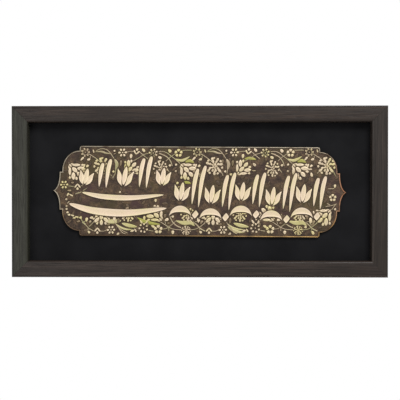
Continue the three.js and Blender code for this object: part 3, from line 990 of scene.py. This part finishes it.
@dataclass
class FlowerWork:
    """The scroll of flowers, buds, leaves and stems on the ground. It repeats along the plaque, and its places
    are measured level although the plate itself sits a little askew."""

    plate: Cartouche
    band: StrokeBand
    pitch: float = 224.8
    repeats: int = 3
    petal_rise: float = 1.9
    stem_width: float = 1.9
    stem_rise: float = 1.3
    leaf_rise: float = 1.2
    gap: float = 2.4
    worn_count: int = 260
    worn_rise: float = 0.45
    shift: float = 0.0
    petals: list[tuple[float, ...]] = field(default_factory=list)
    stems: list[Ribbon] = field(default_factory=list)
    straws: list[Ribbon] = field(default_factory=list)
    olives: list[Ribbon] = field(default_factory=list)
    strokes: np.ndarray = field(default_factory=lambda: np.zeros((0, 3)))

    def petal(self, x: float, z: float, length: float, width: float, turn: float, tone: float = 1.0,
              form: PetalForm = PetalForm.DROP) -> None:
        """Adds one petal or bud.

        Args:
            x: Its centre in the first unit.
            z: Its centre.
            length: Its length.
            width: Its width.
            turn: Its direction in degrees.
            tone: How far it is rubbed bright.
            form: Whether it is a drop or a leaf.
        """
        self.petals.append((x + self.shift, z, length, width, turn, form.value, tone))

    def ribbon(self, kind: list[Ribbon], points: Sequence[Sequence[float]], width: float,
               profile: Callable[[np.ndarray], np.ndarray] = lens) -> None:
        """Adds a ribbon of one kind along points of the first unit.

        Args:
            kind: The list that it joins.
            points: Its curve.
            width: Its greatest width.
            profile: How its width changes.
        """
        moved = [[x + self.shift, z] for x, z in points]
        kind.append(Ribbon(moved, width, profile, 14 + 7 * len(points)))

    def stem(self, points: Sequence[Sequence[float]], width: float = 0.0) -> None:
        """Adds a stem of even width along points."""
        self.ribbon(self.stems, points, width or self.stem_width, even)

    def ring(self, x: float, z: float, radius: float, width: float = 1.7) -> None:
        """Adds a thin ring."""
        turn = np.radians(np.linspace(80, 430, 12))
        self.stem(np.stack([x + radius * np.cos(turn), z + radius * np.sin(turn)], axis=1).tolist(), width)

    def rosette(self, x: float, z: float, radius: float, kind: Rosette, phase: float = 90,
                tone: float = 1.0) -> None:
        """Adds a small flower: petals evenly round a centre, each pointing out.

        Args:
            x: Its centre.
            z: Its centre.
            radius: Its reach.
            kind: Which flower.
            phase: Direction of its first petal in degrees.
            tone: How far it is rubbed bright.
        """
        count, length, width, far, centre = kind.value
        for turn in phase + 360 * np.arange(count) / count:
            dx, dz = math.cos(math.radians(turn)), math.sin(math.radians(turn))
            self.petal(x + far * radius * dx, z + far * radius * dz, length * radius, width * radius, turn, tone)
        if centre:
            self.petal(x, z, centre * radius, centre * radius, 0, tone)

    def bloom(self, x: float, z: float, radius: float, tall: float = 1.0) -> None:
        """Adds a full flower: rings of petals that point out. The outer ring takes long and short ones in turn.

        Args:
            x: Its centre.
            z: Its centre.
            radius: Its reach.
            tall: Height as a share of its width.
        """
        for count, start, far, length, width in ((7, 8, 0.80, 0.50, 0.29), (7, 34, 0.92, 0.27, 0.30),
                                                 (8, 20, 0.50, 0.38, 0.27), (5, 0, 0.2, 0.32, 0.22)):
            for k in range(count):
                turn = 360 * k / count + start + 7 * math.sin(5 * k + start)
                dx, dz = math.cos(math.radians(turn)), math.sin(math.radians(turn)) * tall
                self.petal(x + far * radius * dx, z + far * radius * dz, length * radius, width * radius,
                           math.degrees(math.atan2(dz, dx)), 0.9 + 0.1 * math.sin(3 * k + count))

    def palmette(self, x: float, z: float, length: float, turn: float, tone: float = 1.0) -> None:
        """Adds a palmette: leaves in mirrored pairs that spread from a small calyx, with drops at their tips.

        Args:
            x: Its calyx.
            z: Its calyx.
            length: Its reach.
            turn: The way it opens, in degrees.
            tone: How far it is rubbed bright.
        """
        middle = ((0.13, 0, 0.26, 0.12, 0), (0.52, 0, 0.46, 0.27, 0), (0.94, 0, 0.42, 0.26, 0))
        pairs = ((0.47, 37.5, 0.56, 0.19, 45), (0.82, 24.5, 0.52, 0.27, 43), (0.20, 47, 0.22, 0.09, 45))
        drops = ((0.86, 41, 0.20, 0.14, 45), (1.04, 17, 0.22, 0.16, 36))
        for group, form in ((pairs, PetalForm.LEAF), (drops, PetalForm.DROP)):
            mirrored = [(far, side * off, long, wide, side * lean)
                        for far, off, long, wide, lean in group for side in (1, -1)]
            for far, off, long, wide, lean in (*mirrored, *(middle if form is PetalForm.LEAF else ())):
                angle = math.radians(turn + off)
                self.petal(x + far * length * math.cos(angle), z + far * length * math.sin(angle),
                           long * length, wide * length, turn + lean, tone, form)

    def sprig(self, x: float, z: float, side: float = 1.0) -> None:
        """Adds a sprig of three: a rod, a leaf that stands on it and a bud; side -1 mirrors it."""
        for dx, dz, length, width, turn in ((0, 0, 10.5, 2.9, 0), (-3.5, 6.5, 9, 3.7, 68), (3, 6.5, 6.8, 4.8, 42)):
            self.petal(x + side * dx, z + dz, length, width, turn if side > 0 else 180 - turn)

    def tulip(self, x: float, z: float, turn: float) -> None:
        """Adds two rods that open from a point with a bud between them."""
        for lean in (-38, 38):
            angle = math.radians(turn + lean)
            self.petal(x + 4.5 * math.cos(angle), z + 4.5 * math.sin(angle), 10.5, 3.3, turn + lean)
        angle = math.radians(turn)
        self.petal(x + 9.5 * math.cos(angle), z + 9.5 * math.sin(angle), 5.5, 5, turn)

    def fill(self, rows: Sequence[Sequence[float]]) -> None:
        """Adds single petals and buds from rows of their centre, length, width, turn and tone."""
        for row in rows:
            self.petal(*row)

    def upper_unit(self) -> None:
        """Lays out one unit of the upper scroll, from palmette to small flower."""
        self.palmette(-263, 55.5, 31.5, -45)
        self.bloom(-195.5, 51, 17.5)
        self.palmette(-150.5, 34, 29, 47)
        self.bloom(-79, 46, 14, 1.2)
        self.ring(-230, 79, 5.4)
        self.rosette(-230, 79, 9.3, Rosette.RING, 54, 0.7)
        self.rosette(-155, 78.5, 9, Rosette.SIX, 62)
        self.ring(-93.5, 77.5, 4.6)
        self.rosette(-93.5, 77.5, 9.3, Rosette.RING, 20)
        self.rosette(-42.5, 77.5, 8.8, Rosette.FIVE)
        self.sprig(-229, 44.8)
        self.tulip(-128, 75, 78)
        self.fill((
            (-236.5, 66, 10, 4.2, 48), (-223.5, 64.5, 7.2, 4.8, 15), (-225, 34, 9.5, 5.2, -75),
            (-213.7, 81.5, 7.5, 3.2, -72, 0.8), (-171.5, 82, 4.4, 4.2, 0), (-171.5, 76, 6, 2.2, 20, 0.5),
            (-173.5, 40.3, 5, 4.6, 0), (-161, 34, 8, 4.8, -25), (-138, 71, 9.2, 5.6, 85), (-113, 83.3, 9, 5.4, -50),
            (-115, 54, 8.5, 5.4, -45, 0.8), (-116, 42, 8.5, 2.4, 0, 0.6), (-80, 68.3, 8.2, 5.6, -30),
            (-60.3, 81.8, 8.4, 6.2, -50), (-60, 52.5, 5, 4.8, 0), (-47.5, 54, 5, 4.4, 40),
            (-48, 41, 4.6, 4.4, 0, 0.7), (-158.5, 57, 13, 5, 86, 0.34), (-179, 59, 12, 5, 80, 0.3)))
        for points in ([[-224, 76.5], [-209, 67], [-196, 56], [-184, 44], [-177, 31]], [[-220, 72], [-220, 66.5]],
                       [[-209, 81.5], [-199, 86], [-189, 85], [-181, 79], [-172, 66]],
                       [[-168.5, 45], [-170, 36], [-175, 27]], [[-120, 79], [-113, 73], [-104, 65.5]],
                       [[-134, 61.5], [-122, 68], [-113, 74], [-103, 77]], [[-147, 79.5], [-136, 81], [-131, 80]],
                       [[-83, 80], [-74, 80.5], [-66, 77.8], [-57, 71], [-49, 65], [-39, 56]],
                       [[-68, 61], [-58, 70], [-49, 76]], [[-35, 82.5], [-26, 83.2], [-16, 83]],
                       [[-66, 47], [-60, 38]], [[-214, 36], [-206, 45]]):
            self.stem(points)
        self.stem([[-82, 77], [-72, 73], [-64, 68], [-58, 60], [-55, 51]], 2.5)
        self.ribbon(self.stems, [[-211, 80], [-198, 80.5], [-189, 77.5], [-178, 76]], 4.2)
        self.ribbon(self.stems, [[-171.5, 66], [-166.5, 55], [-169, 43]], 7.4)
        self.ribbon(self.straws, [[-51, 66], [-38, 62.5], [-30, 64.5], [-20, 70.5]], 6.4)
        self.ribbon(self.olives, [[-29, 59], [-20, 62], [-11, 58]], 7)

    def lower_unit(self) -> None:
        """Lays out one unit of the lower scroll, from bud to dense flower."""
        self.bloom(-143.5, -46.5, 14)
        self.palmette(-75, -59, 31, 134)
        self.bloom(-23.5, -46, 14)
        self.tulip(-205, -73, -90)
        self.rosette(-177.5, -77, 8.8, Rosette.SIX, 62)
        self.rosette(-112.3, -73.3, 10, Rosette.RING, 30)
        self.rosette(-82.3, -76, 9.4, Rosette.FIVE, 90)
        self.bloom(-26.5, -78, 9.2)
        self.fill((
            (-226.8, -56.5, 9, 5.6, 80), (-217, -52.5, 7.5, 5.2, 5), (-219.5, -60.5, 5.5, 4.6, 50, 0.6),
            (-222, -81.5, 6.6, 4.8, -45), (-171, -54.3, 10, 5.6, 88), (-163.5, -85, 6.4, 4.6, 30, 0.8),
            (-135, -79, 8.6, 4.2, 20), (-128.3, -78, 8, 3.4, -60), (-110.5, -53.5, 9, 5, 88),
            (-117, -60.5, 9.5, 4, -55), (-106, -61, 9, 3.8, 60), (-93, -70, 8.6, 4.8, -30),
            (-65.5, -56.5, 8.6, 6, 25), (-53.5, -50.3, 5.4, 4.8, 0), (-53, -82, 8, 6, 88),
            (-1.3, -58.5, 8.4, 5.6, 80), (-8.2, -51, 12, 5.2, 86, 0.34), (4, -62.5, 9, 5, 80, 0.34),
            (-62, -63.5, 6, 4.4, 0, 0.34), (-163, -59, 12, 6, 86, 0.3), (-183, -66, 8, 5, 10, 0.34),
            (-104, -67, 11, 5.4, 88, 0.3), (-69, -49, 9, 5, 88, 0.3)))
        for points in ([[-236, -62], [-229, -67], [-222, -74], [-212, -79.5]], [[-222, -70.5], [-215, -64], [-208, -55]],
                       [[-233, -61], [-229, -59.5]], [[-223.5, -72], [-224, -78]],
                       [[-199, -79.5], [-192, -79.5], [-186, -77]], [[-170, -60], [-168, -65], [-163, -71]],
                       [[-166, -69], [-156, -77.5], [-144, -83.5]], [[-162, -74], [-155, -82], [-148, -85]],
                       [[-102, -78], [-92, -79.5]], [[-73, -75.3], [-66, -74], [-58, -69], [-51, -63], [-45, -57]],
                       [[-78, -61], [-70, -66], [-62, -71], [-53, -75.3], [-36, -77]],
                       [[-61, -72], [-61, -79.5]], [[-69, -60], [-67.5, -65]],
                       [[-17, -77], [-7, -75.3], [1, -71], [12, -63]],
                       [[-12, -61], [-5, -67.5], [2, -74.5], [12, -80]]):
            self.stem(points)
        self.stem([[-60.5, -45], [-57, -55], [-52, -63], [-45, -69], [-36, -73]], 2.8)
        self.ribbon(self.straws, [[-169, -64], [-158, -72], [-146, -76], [-135, -76]], 4.6)
        self.ribbon(self.straws, [[-156, -63.5], [-142, -68], [-125, -71]], 8)
        self.ribbon(self.straws, [[-47, -58.5], [-32, -63], [-18, -62.5], [-9, -69]], 9.5)

    def ends(self) -> None:
        """Lays out what stands alone: at the two ends, and leaves that the repeats don't share."""
        self.rosette(-272.5, 14, 8.6, Rosette.SIX, 62)
        self.rosette(267.3, -12.5, 8, Rosette.FIVE)
        self.tulip(-245.5, 15.5, -90)
        for x in (-197, 27.8):
            self.palmette(x, -37, 27, -90)
        self.palmette(263.5, -36.5, 31.5, -135)
        self.sprig(226.5, -49.5, -1)
        self.fill((
            (-256, 18, 6.5, 4.2, 0, 0.4), (-240.5, 19, 6.5, 4.2, 0, 0.4), (-262, 2.3, 8.5, 3.8, 0, 0.5),
            (-265, -6, 8, 3.8, 62, 0.9), (-258.5, -7, 9.5, 3.2, -30, 0.9), (-268, -15.5, 5, 4.8, 0, 0.7),
            (-263.5, -22.3, 6, 4.2, 45, 0.8), (-267.5, -29, 4.6, 4.2, 0, 0.7), (-267.5, -35, 4.8, 4.6, 0, 0.85),
            (-265.5, -42, 5.2, 4.6, 30), (-262.5, -46.7, 6, 4.2, 0), (-255.5, -48, 8, 3.2, -20),
            (-252, -53, 7, 3.4, 10), (-246.5, -51, 8.5, 3.2, -15), (-239, -52.5, 5.8, 5.4, 0),
            (-243.5, -60, 8, 4.6, 10, 0.4), (271.5, 10.7, 7.4, 5, 80), (272, -35.5, 5, 4.8, 0, 0.9),
            (223.5, -60.5, 8.6, 5.8, 75), (227.5, -66, 9, 5, 35, 0.4), (228.5, -84, 6, 5, 0),
            (213, -71.5, 6, 4.6, 0), (-44.5, 17, 5.6, 4.8, 60), (-41, 9, 6, 3.8, 0), (-88, -18, 7, 4.8, 90),
            (-160, -1, 5, 4.6, 30, 0.8), (176, 14, 6, 4.4, 60), (172, 6, 7, 2.8, 20), (182, 8, 6, 2.8, -40)))
        for points in ([[-264, 11.5], [-253, 10]], [[-250, -5], [-242, -1]], [[-238, -54], [-235, -60], [-228, -66]],
                       [[258, 5.5], [270, 5.8]], [[253, -30], [265, -28], [275, -25]],
                       [[265, -37], [270, -30], [275, -24]], [[256, -24], [262, -26.5]],
                       [[224, -78], [226, -83]], [[-228, 18], [-239, 27], [-246, 33]], [[222, -64], [226, -68]],
                       [[-219, 24], [-228, 18], [-238, 11]]):
            self.stem(points)
        self.ribbon(self.stems, [[-251, -5], [-238, -1], [-226, 8]], 2.4)
        self.ribbon(self.olives, [[-125, -52], [-112, -59], [-97, -63.5], [-78, -66]], 7.6)
        self.ribbon(self.olives, [[90, 65.5], [101, 67], [114, 64]], 6.6)
        self.ribbon(self.olives, [[-37, 17], [-27, 18.5], [-17, 16.5]], 6)
        self.ribbon(self.straws, [[-189, -60.5], [-174, -60], [-157, -58.5]], 10)
        self.ribbon(self.straws, [[57, -70], [66, -76.5], [79, -81], [92, -81.5]], 6.4)

    def worn(self) -> None:
        """Scatters small worn leaves between the flowers. Their places step along the plaque by the golden ratio
        and across it by the square root of two, so that they spread evenly; their turns and sizes are seeded."""
        random = np.random.default_rng(SEED)
        for step in range(1, self.worn_count + 1):
            x = (step * 0.6180339887 % 1 * 2 - 1) * self.plate.lobe_end
            z = (step * 0.4142135624 % 1 * 2 - 1) * self.plate.half_height
            length = random.uniform(7, 13)
            self.petal(x, z, length, length * random.uniform(0.35, 0.55), random.normal(85, 40),
                       random.uniform(0.2, 0.45), PetalForm.LEAF)

    def clear_of_strokes(self, shape: np.ndarray) -> np.ndarray:
        """How clear points are of the strokes: the distance to each sample of a stroke less its half-width, the
        least of them as a share of the gap from its inner two thirds out.

        Args:
            shape: (x, z, height) points.

        Returns:
            One number for each point, from 0 at a stroke to 1 where it is clear.
        """
        flat = shape.reshape(-1, 3)[:, :2]
        nearest = [np.min(np.hypot(part[:, None, 0] - self.strokes[:, 0], part[:, None, 1] - self.strokes[:, 1])
                          - self.strokes[:, 2], axis=1) for part in np.array_split(flat, len(flat) // 4000 + 1)]
        clear = np.concatenate(nearest).reshape(shape.shape[:-1])
        return np.clip((clear - 0.65 * self.gap) / (0.35 * self.gap), 0, 1)

    def sink(self, shape: np.ndarray) -> np.ndarray:
        """Lets points down into the ground where they come too near to a stroke.

        Args:
            shape: (x, z, height) points.

        Returns:
            The points, sunk where they are too near.
        """
        floor = self.plate.ground - 0.7
        above = np.maximum(shape[..., 2] - floor, 0)
        height = np.minimum(shape[..., 2], floor + above * self.clear_of_strokes(shape))
        return np.concatenate([shape[..., :2], height[..., None]], axis=-1)

    def level(self, shape: np.ndarray) -> np.ndarray:
        """Turns level places into the plate's own, which sits askew: each rises by its x times the tilt."""
        lifted = shape[..., 1] + shape[..., 0] * math.sin(math.radians(self.plate.tilt_deg))
        return np.stack([shape[..., 0], lifted, shape[..., 2]], axis=-1)

    def petal_shell(self, petals: Sequence[tuple[float, ...]], rise: float) -> Shell:
        """Petals, all at once. Each is an ellipse, full at its outer end for a drop and narrowed by a power of
        the sine for a leaf, with a dark line on the ground round it, which is patina and painted shade, a steep side
        and a domed top.

        Args:
            petals: Each petal's x, z, length, width, turn, form and tone.
            rise: Greatest height over the ground.

        Returns:
            The shell.
        """
        rows = np.array(petals)
        reach = np.abs(rows[:, 0]) + 0.3 * rows[:, 2]
        inside = np.abs(rows[:, 1]) + 0.4 * rows[:, 2] < self.plate.field_half_height(reach) + 0.5
        x, z, length, width, turn, leaf, tone = rows[inside].T[:, :, None, None]
        around = np.linspace(0, 2 * np.pi, 14, endpoint=False)
        # The first row, not rubbed, is the dark line round each petal: patina and painted shade.
        share, spread, lift, rub_and_shade = np.array([
            [1, 1.7, -0.3, 0], [1, 1.5, 0.04, 0], [1, 0.15, 0.3, 0.25], [1, -0.4, 0.75, 0.9],
            [0.72, 0, 1, 1], [0.36, 0, 0.94, 0.85], [0.1, 0, 0.92, 0.75]]).T[:, None, :, None]
        point = np.abs(np.sin(around)) ** (0.4 * leaf) * (1 + 0.3 * (1 - leaf) * np.cos(around))
        ahead = 0.5 * np.cos(around) * np.maximum(length * share + spread, 0.2)
        aside = 0.5 * np.sin(around) * point * np.maximum(width * share + spread, 0.2)
        cos, sin = np.cos(np.radians(turn)), np.sin(np.radians(turn))
        height = self.plate.ground + lift * np.minimum(rise, 0.25 + 0.45 * width) + 0 * ahead
        rings = np.stack([x + ahead * cos - aside * sin, z + ahead * sin + aside * cos, height], axis=-1)
        return loft(self.plate.place(self.sink(self.level(rings))), np.broadcast_to(rub_and_shade * tone, ahead.shape))

    def ribbon_shell(self, ribbons: Sequence[Ribbon], rise: float, keel: float) -> Shell:
        """Rounded ribbons: the section is half a rounded bar, with a groove down its middle where keel is set,
        and a dark line on the ground to either side, which is patina and painted shade.

        Args:
            ribbons: The stems or leaves.
            rise: Their height above the ground.
            keel: Depth of the middle groove.

        Returns:
            The shell.
        """
        shells = []
        turn = np.linspace(0, np.pi, 9)
        for ribbon in ribbons:
            centre, normal, half = ribbon.trace()
            if np.any(np.abs(centre[:, 1]) > self.plate.field_half_height(centre[:, 0])):
                continue
            top = half[:, None] * np.cos(turn)
            line = half[:, None] + 0.6
            across = np.concatenate([line + 0.1, line, top, -line, -line - 0.1], axis=1)
            bulge = np.sin(turn) ** 0.7 - keel * np.exp(-(np.cos(turn) / 0.3) ** 2)
            low = np.minimum(1, half / (0.5 * ribbon.width))[:, None] ** 0.5
            edge = np.ones_like(line)
            height = self.plate.ground + np.concatenate(
                [-0.4 * edge, 0.04 * edge, 0.06 + rise * low * bulge, 0.04 * edge, -0.4 * edge], axis=1)
            flat = centre[:, None] + normal[:, None] * across[..., None]
            rings = self.sink(self.level(np.concatenate([flat, height[..., None]], axis=-1)))
            # The outer two points on each side are the dark line: patina and painted shade.
            rub_and_shade = np.concatenate([[0, 0], 0.15 + 0.85 * np.sin(turn) ** 0.6, [0, 0]])
            shells.append(loft(self.plate.place(rings), rub_and_shade))
        return Shell.join(shells)

    def build(self) -> None:
        """Lays out the scroll and builds its petals, stems and leaves as pieces of the casting."""
        self.strokes = self.band.samples()
        for unit in range(self.repeats):
            self.shift = unit * self.pitch
            self.upper_unit()
            self.lower_unit()
        self.shift = 0.0
        self.ends()
        bright, self.petals = self.petals, []
        self.worn()
        for name, shell, finish in (
                ("plaque_flowers", self.petal_shell(bright, self.petal_rise), FLOWER_BRASS),
                ("plaque_stems", self.ribbon_shell(self.stems, self.stem_rise, 0), STEM_BRASS),
                ("plaque_straw_leaves", self.ribbon_shell(self.straws, self.leaf_rise, 0.3), STRAW_BRASS),
                ("plaque_olive_leaves", self.ribbon_shell(self.olives, self.leaf_rise, 0.3), OLIVE_BRASS),
                ("plaque_worn_leaves", self.petal_shell(self.petals, self.worn_rise), WORN_BRASS)):
            make_piece(name, shell, [finish.material()], "plaque", 60)


# Studio


@dataclass
class Studio:
    """The white room, its lights, the pale floor and the camera."""

    distance: float = 1.95
    azimuth_deg: float = 1.0
    elevation_deg: float = 0.5
    view_width: float = 0.796
    aim: tuple[float, float, float] = (0.0015, -0.034, -0.0167)
    sensor: float = 36
    ambient: float = 0.42
    floor_drop: float = 1.5

    def world(self) -> None:
        """Makes the surroundings white to the camera and softer as a light."""
        world = bpy.data.worlds.new("white_room")
        bpy.context.scene.world = world
        world.use_nodes = True
        tree = world.node_tree
        tree.nodes.clear()
        seen = add_node(tree, "Background", None, {"Color": (1, 1, 1, 1), "Strength": 1.0})
        lit = add_node(tree, "Background", None, {"Color": (1, 1, 1, 1), "Strength": self.ambient})
        ray = add_node(tree, "LightPath").outputs["Is Camera Ray"]
        both = add_node(tree, "MixShader", None, {0: ray, 1: lit.outputs[0], 2: seen.outputs[0]})
        add_node(tree, "OutputWorld", None, {"Surface": both.outputs[0]})

    def light(self, name: str, place: tuple[float, float, float], size: float, watts: float) -> None:
        """Adds a square soft light that faces the panel.

        Args:
            name: Its name.
            place: Where it stands.
            size: Its side in metres.
            watts: Its power.
        """
        lamp = bpy.data.lights.new(name, "AREA")
        lamp.shape, lamp.size, lamp.energy = "SQUARE", size, watts
        stand = bpy.data.objects.new(name, lamp)
        bpy.context.scene.collection.objects.link(stand)
        stand.location = place
        toward = -stand.location
        stand.rotation_mode = "QUATERNION"
        stand.rotation_quaternion = toward.to_track_quat("-Z", "Y")

    def floor(self) -> None:
        """Lays a pale floor well below the panel."""
        mesh = bpy.data.meshes.new("floor")
        side, low = 1.6, -self.floor_drop
        mesh.from_pydata([(-side, -side, low), (side, -side, low), (side, side, low), (-side, side, low)],
                         [], [(0, 1, 2, 3)])
        material, tree = new_material("pale_floor")
        place = add_node(tree, "TexCoord").outputs["Object"]
        colour = layered(tree, "e8e6e2", [(Cloud(300, 0.35, 0.65).lay(tree, place), "f2f0ec")])
        finish_material(tree, {"Base Color": colour, "Roughness": 0.8})
        mesh.materials.append(material)
        ground = bpy.data.objects.new("floor", mesh)
        bpy.context.scene.collection.objects.link(ground)

    def camera(self) -> None:
        """Stands the camera a little to the right of the panel's middle and a little above it."""
        lens = bpy.data.cameras.new("camera")
        lens.sensor_width = self.sensor
        lens.lens = self.sensor * self.distance / self.view_width
        stand = bpy.data.objects.new("camera", lens)
        bpy.context.scene.collection.objects.link(stand)
        turn, rise = math.radians(self.azimuth_deg), math.radians(self.elevation_deg)
        back = np.array([math.sin(turn) * math.cos(rise), -math.cos(turn) * math.cos(rise), math.sin(rise)])
        stand.location = np.array(self.aim) + back * self.distance
        stand.rotation_mode = "QUATERNION"
        toward = stand.location - type(stand.location)(self.aim)
        stand.rotation_quaternion = toward.to_track_quat("Z", "Y")
        bpy.context.scene.camera = stand

    def build(self) -> None:
        """Sets up the studio."""
        self.world()
        self.light("key_light", (0.9, -1.9, 1.5), 1.0, 42)
        self.light("fill_light", (-1.3, -2.2, 0.2), 1.4, 12)
        self.floor()
        self.camera()
        bpy.context.scene.view_settings.view_transform = "Standard"


def main() -> None:
    """Builds the panel's pieces in order, then the studio."""
    logging.basicConfig(level=logging.INFO, format="%(name)s %(message)s")
    Moulding().build()
    BackingBoard().build()
    plate = Cartouche()
    plate.build()
    band = StrokeBand(plate)
    band.build()
    FlowerWork(plate, band).build()
    Studio().build()


if __name__ == "__main__":
    main()
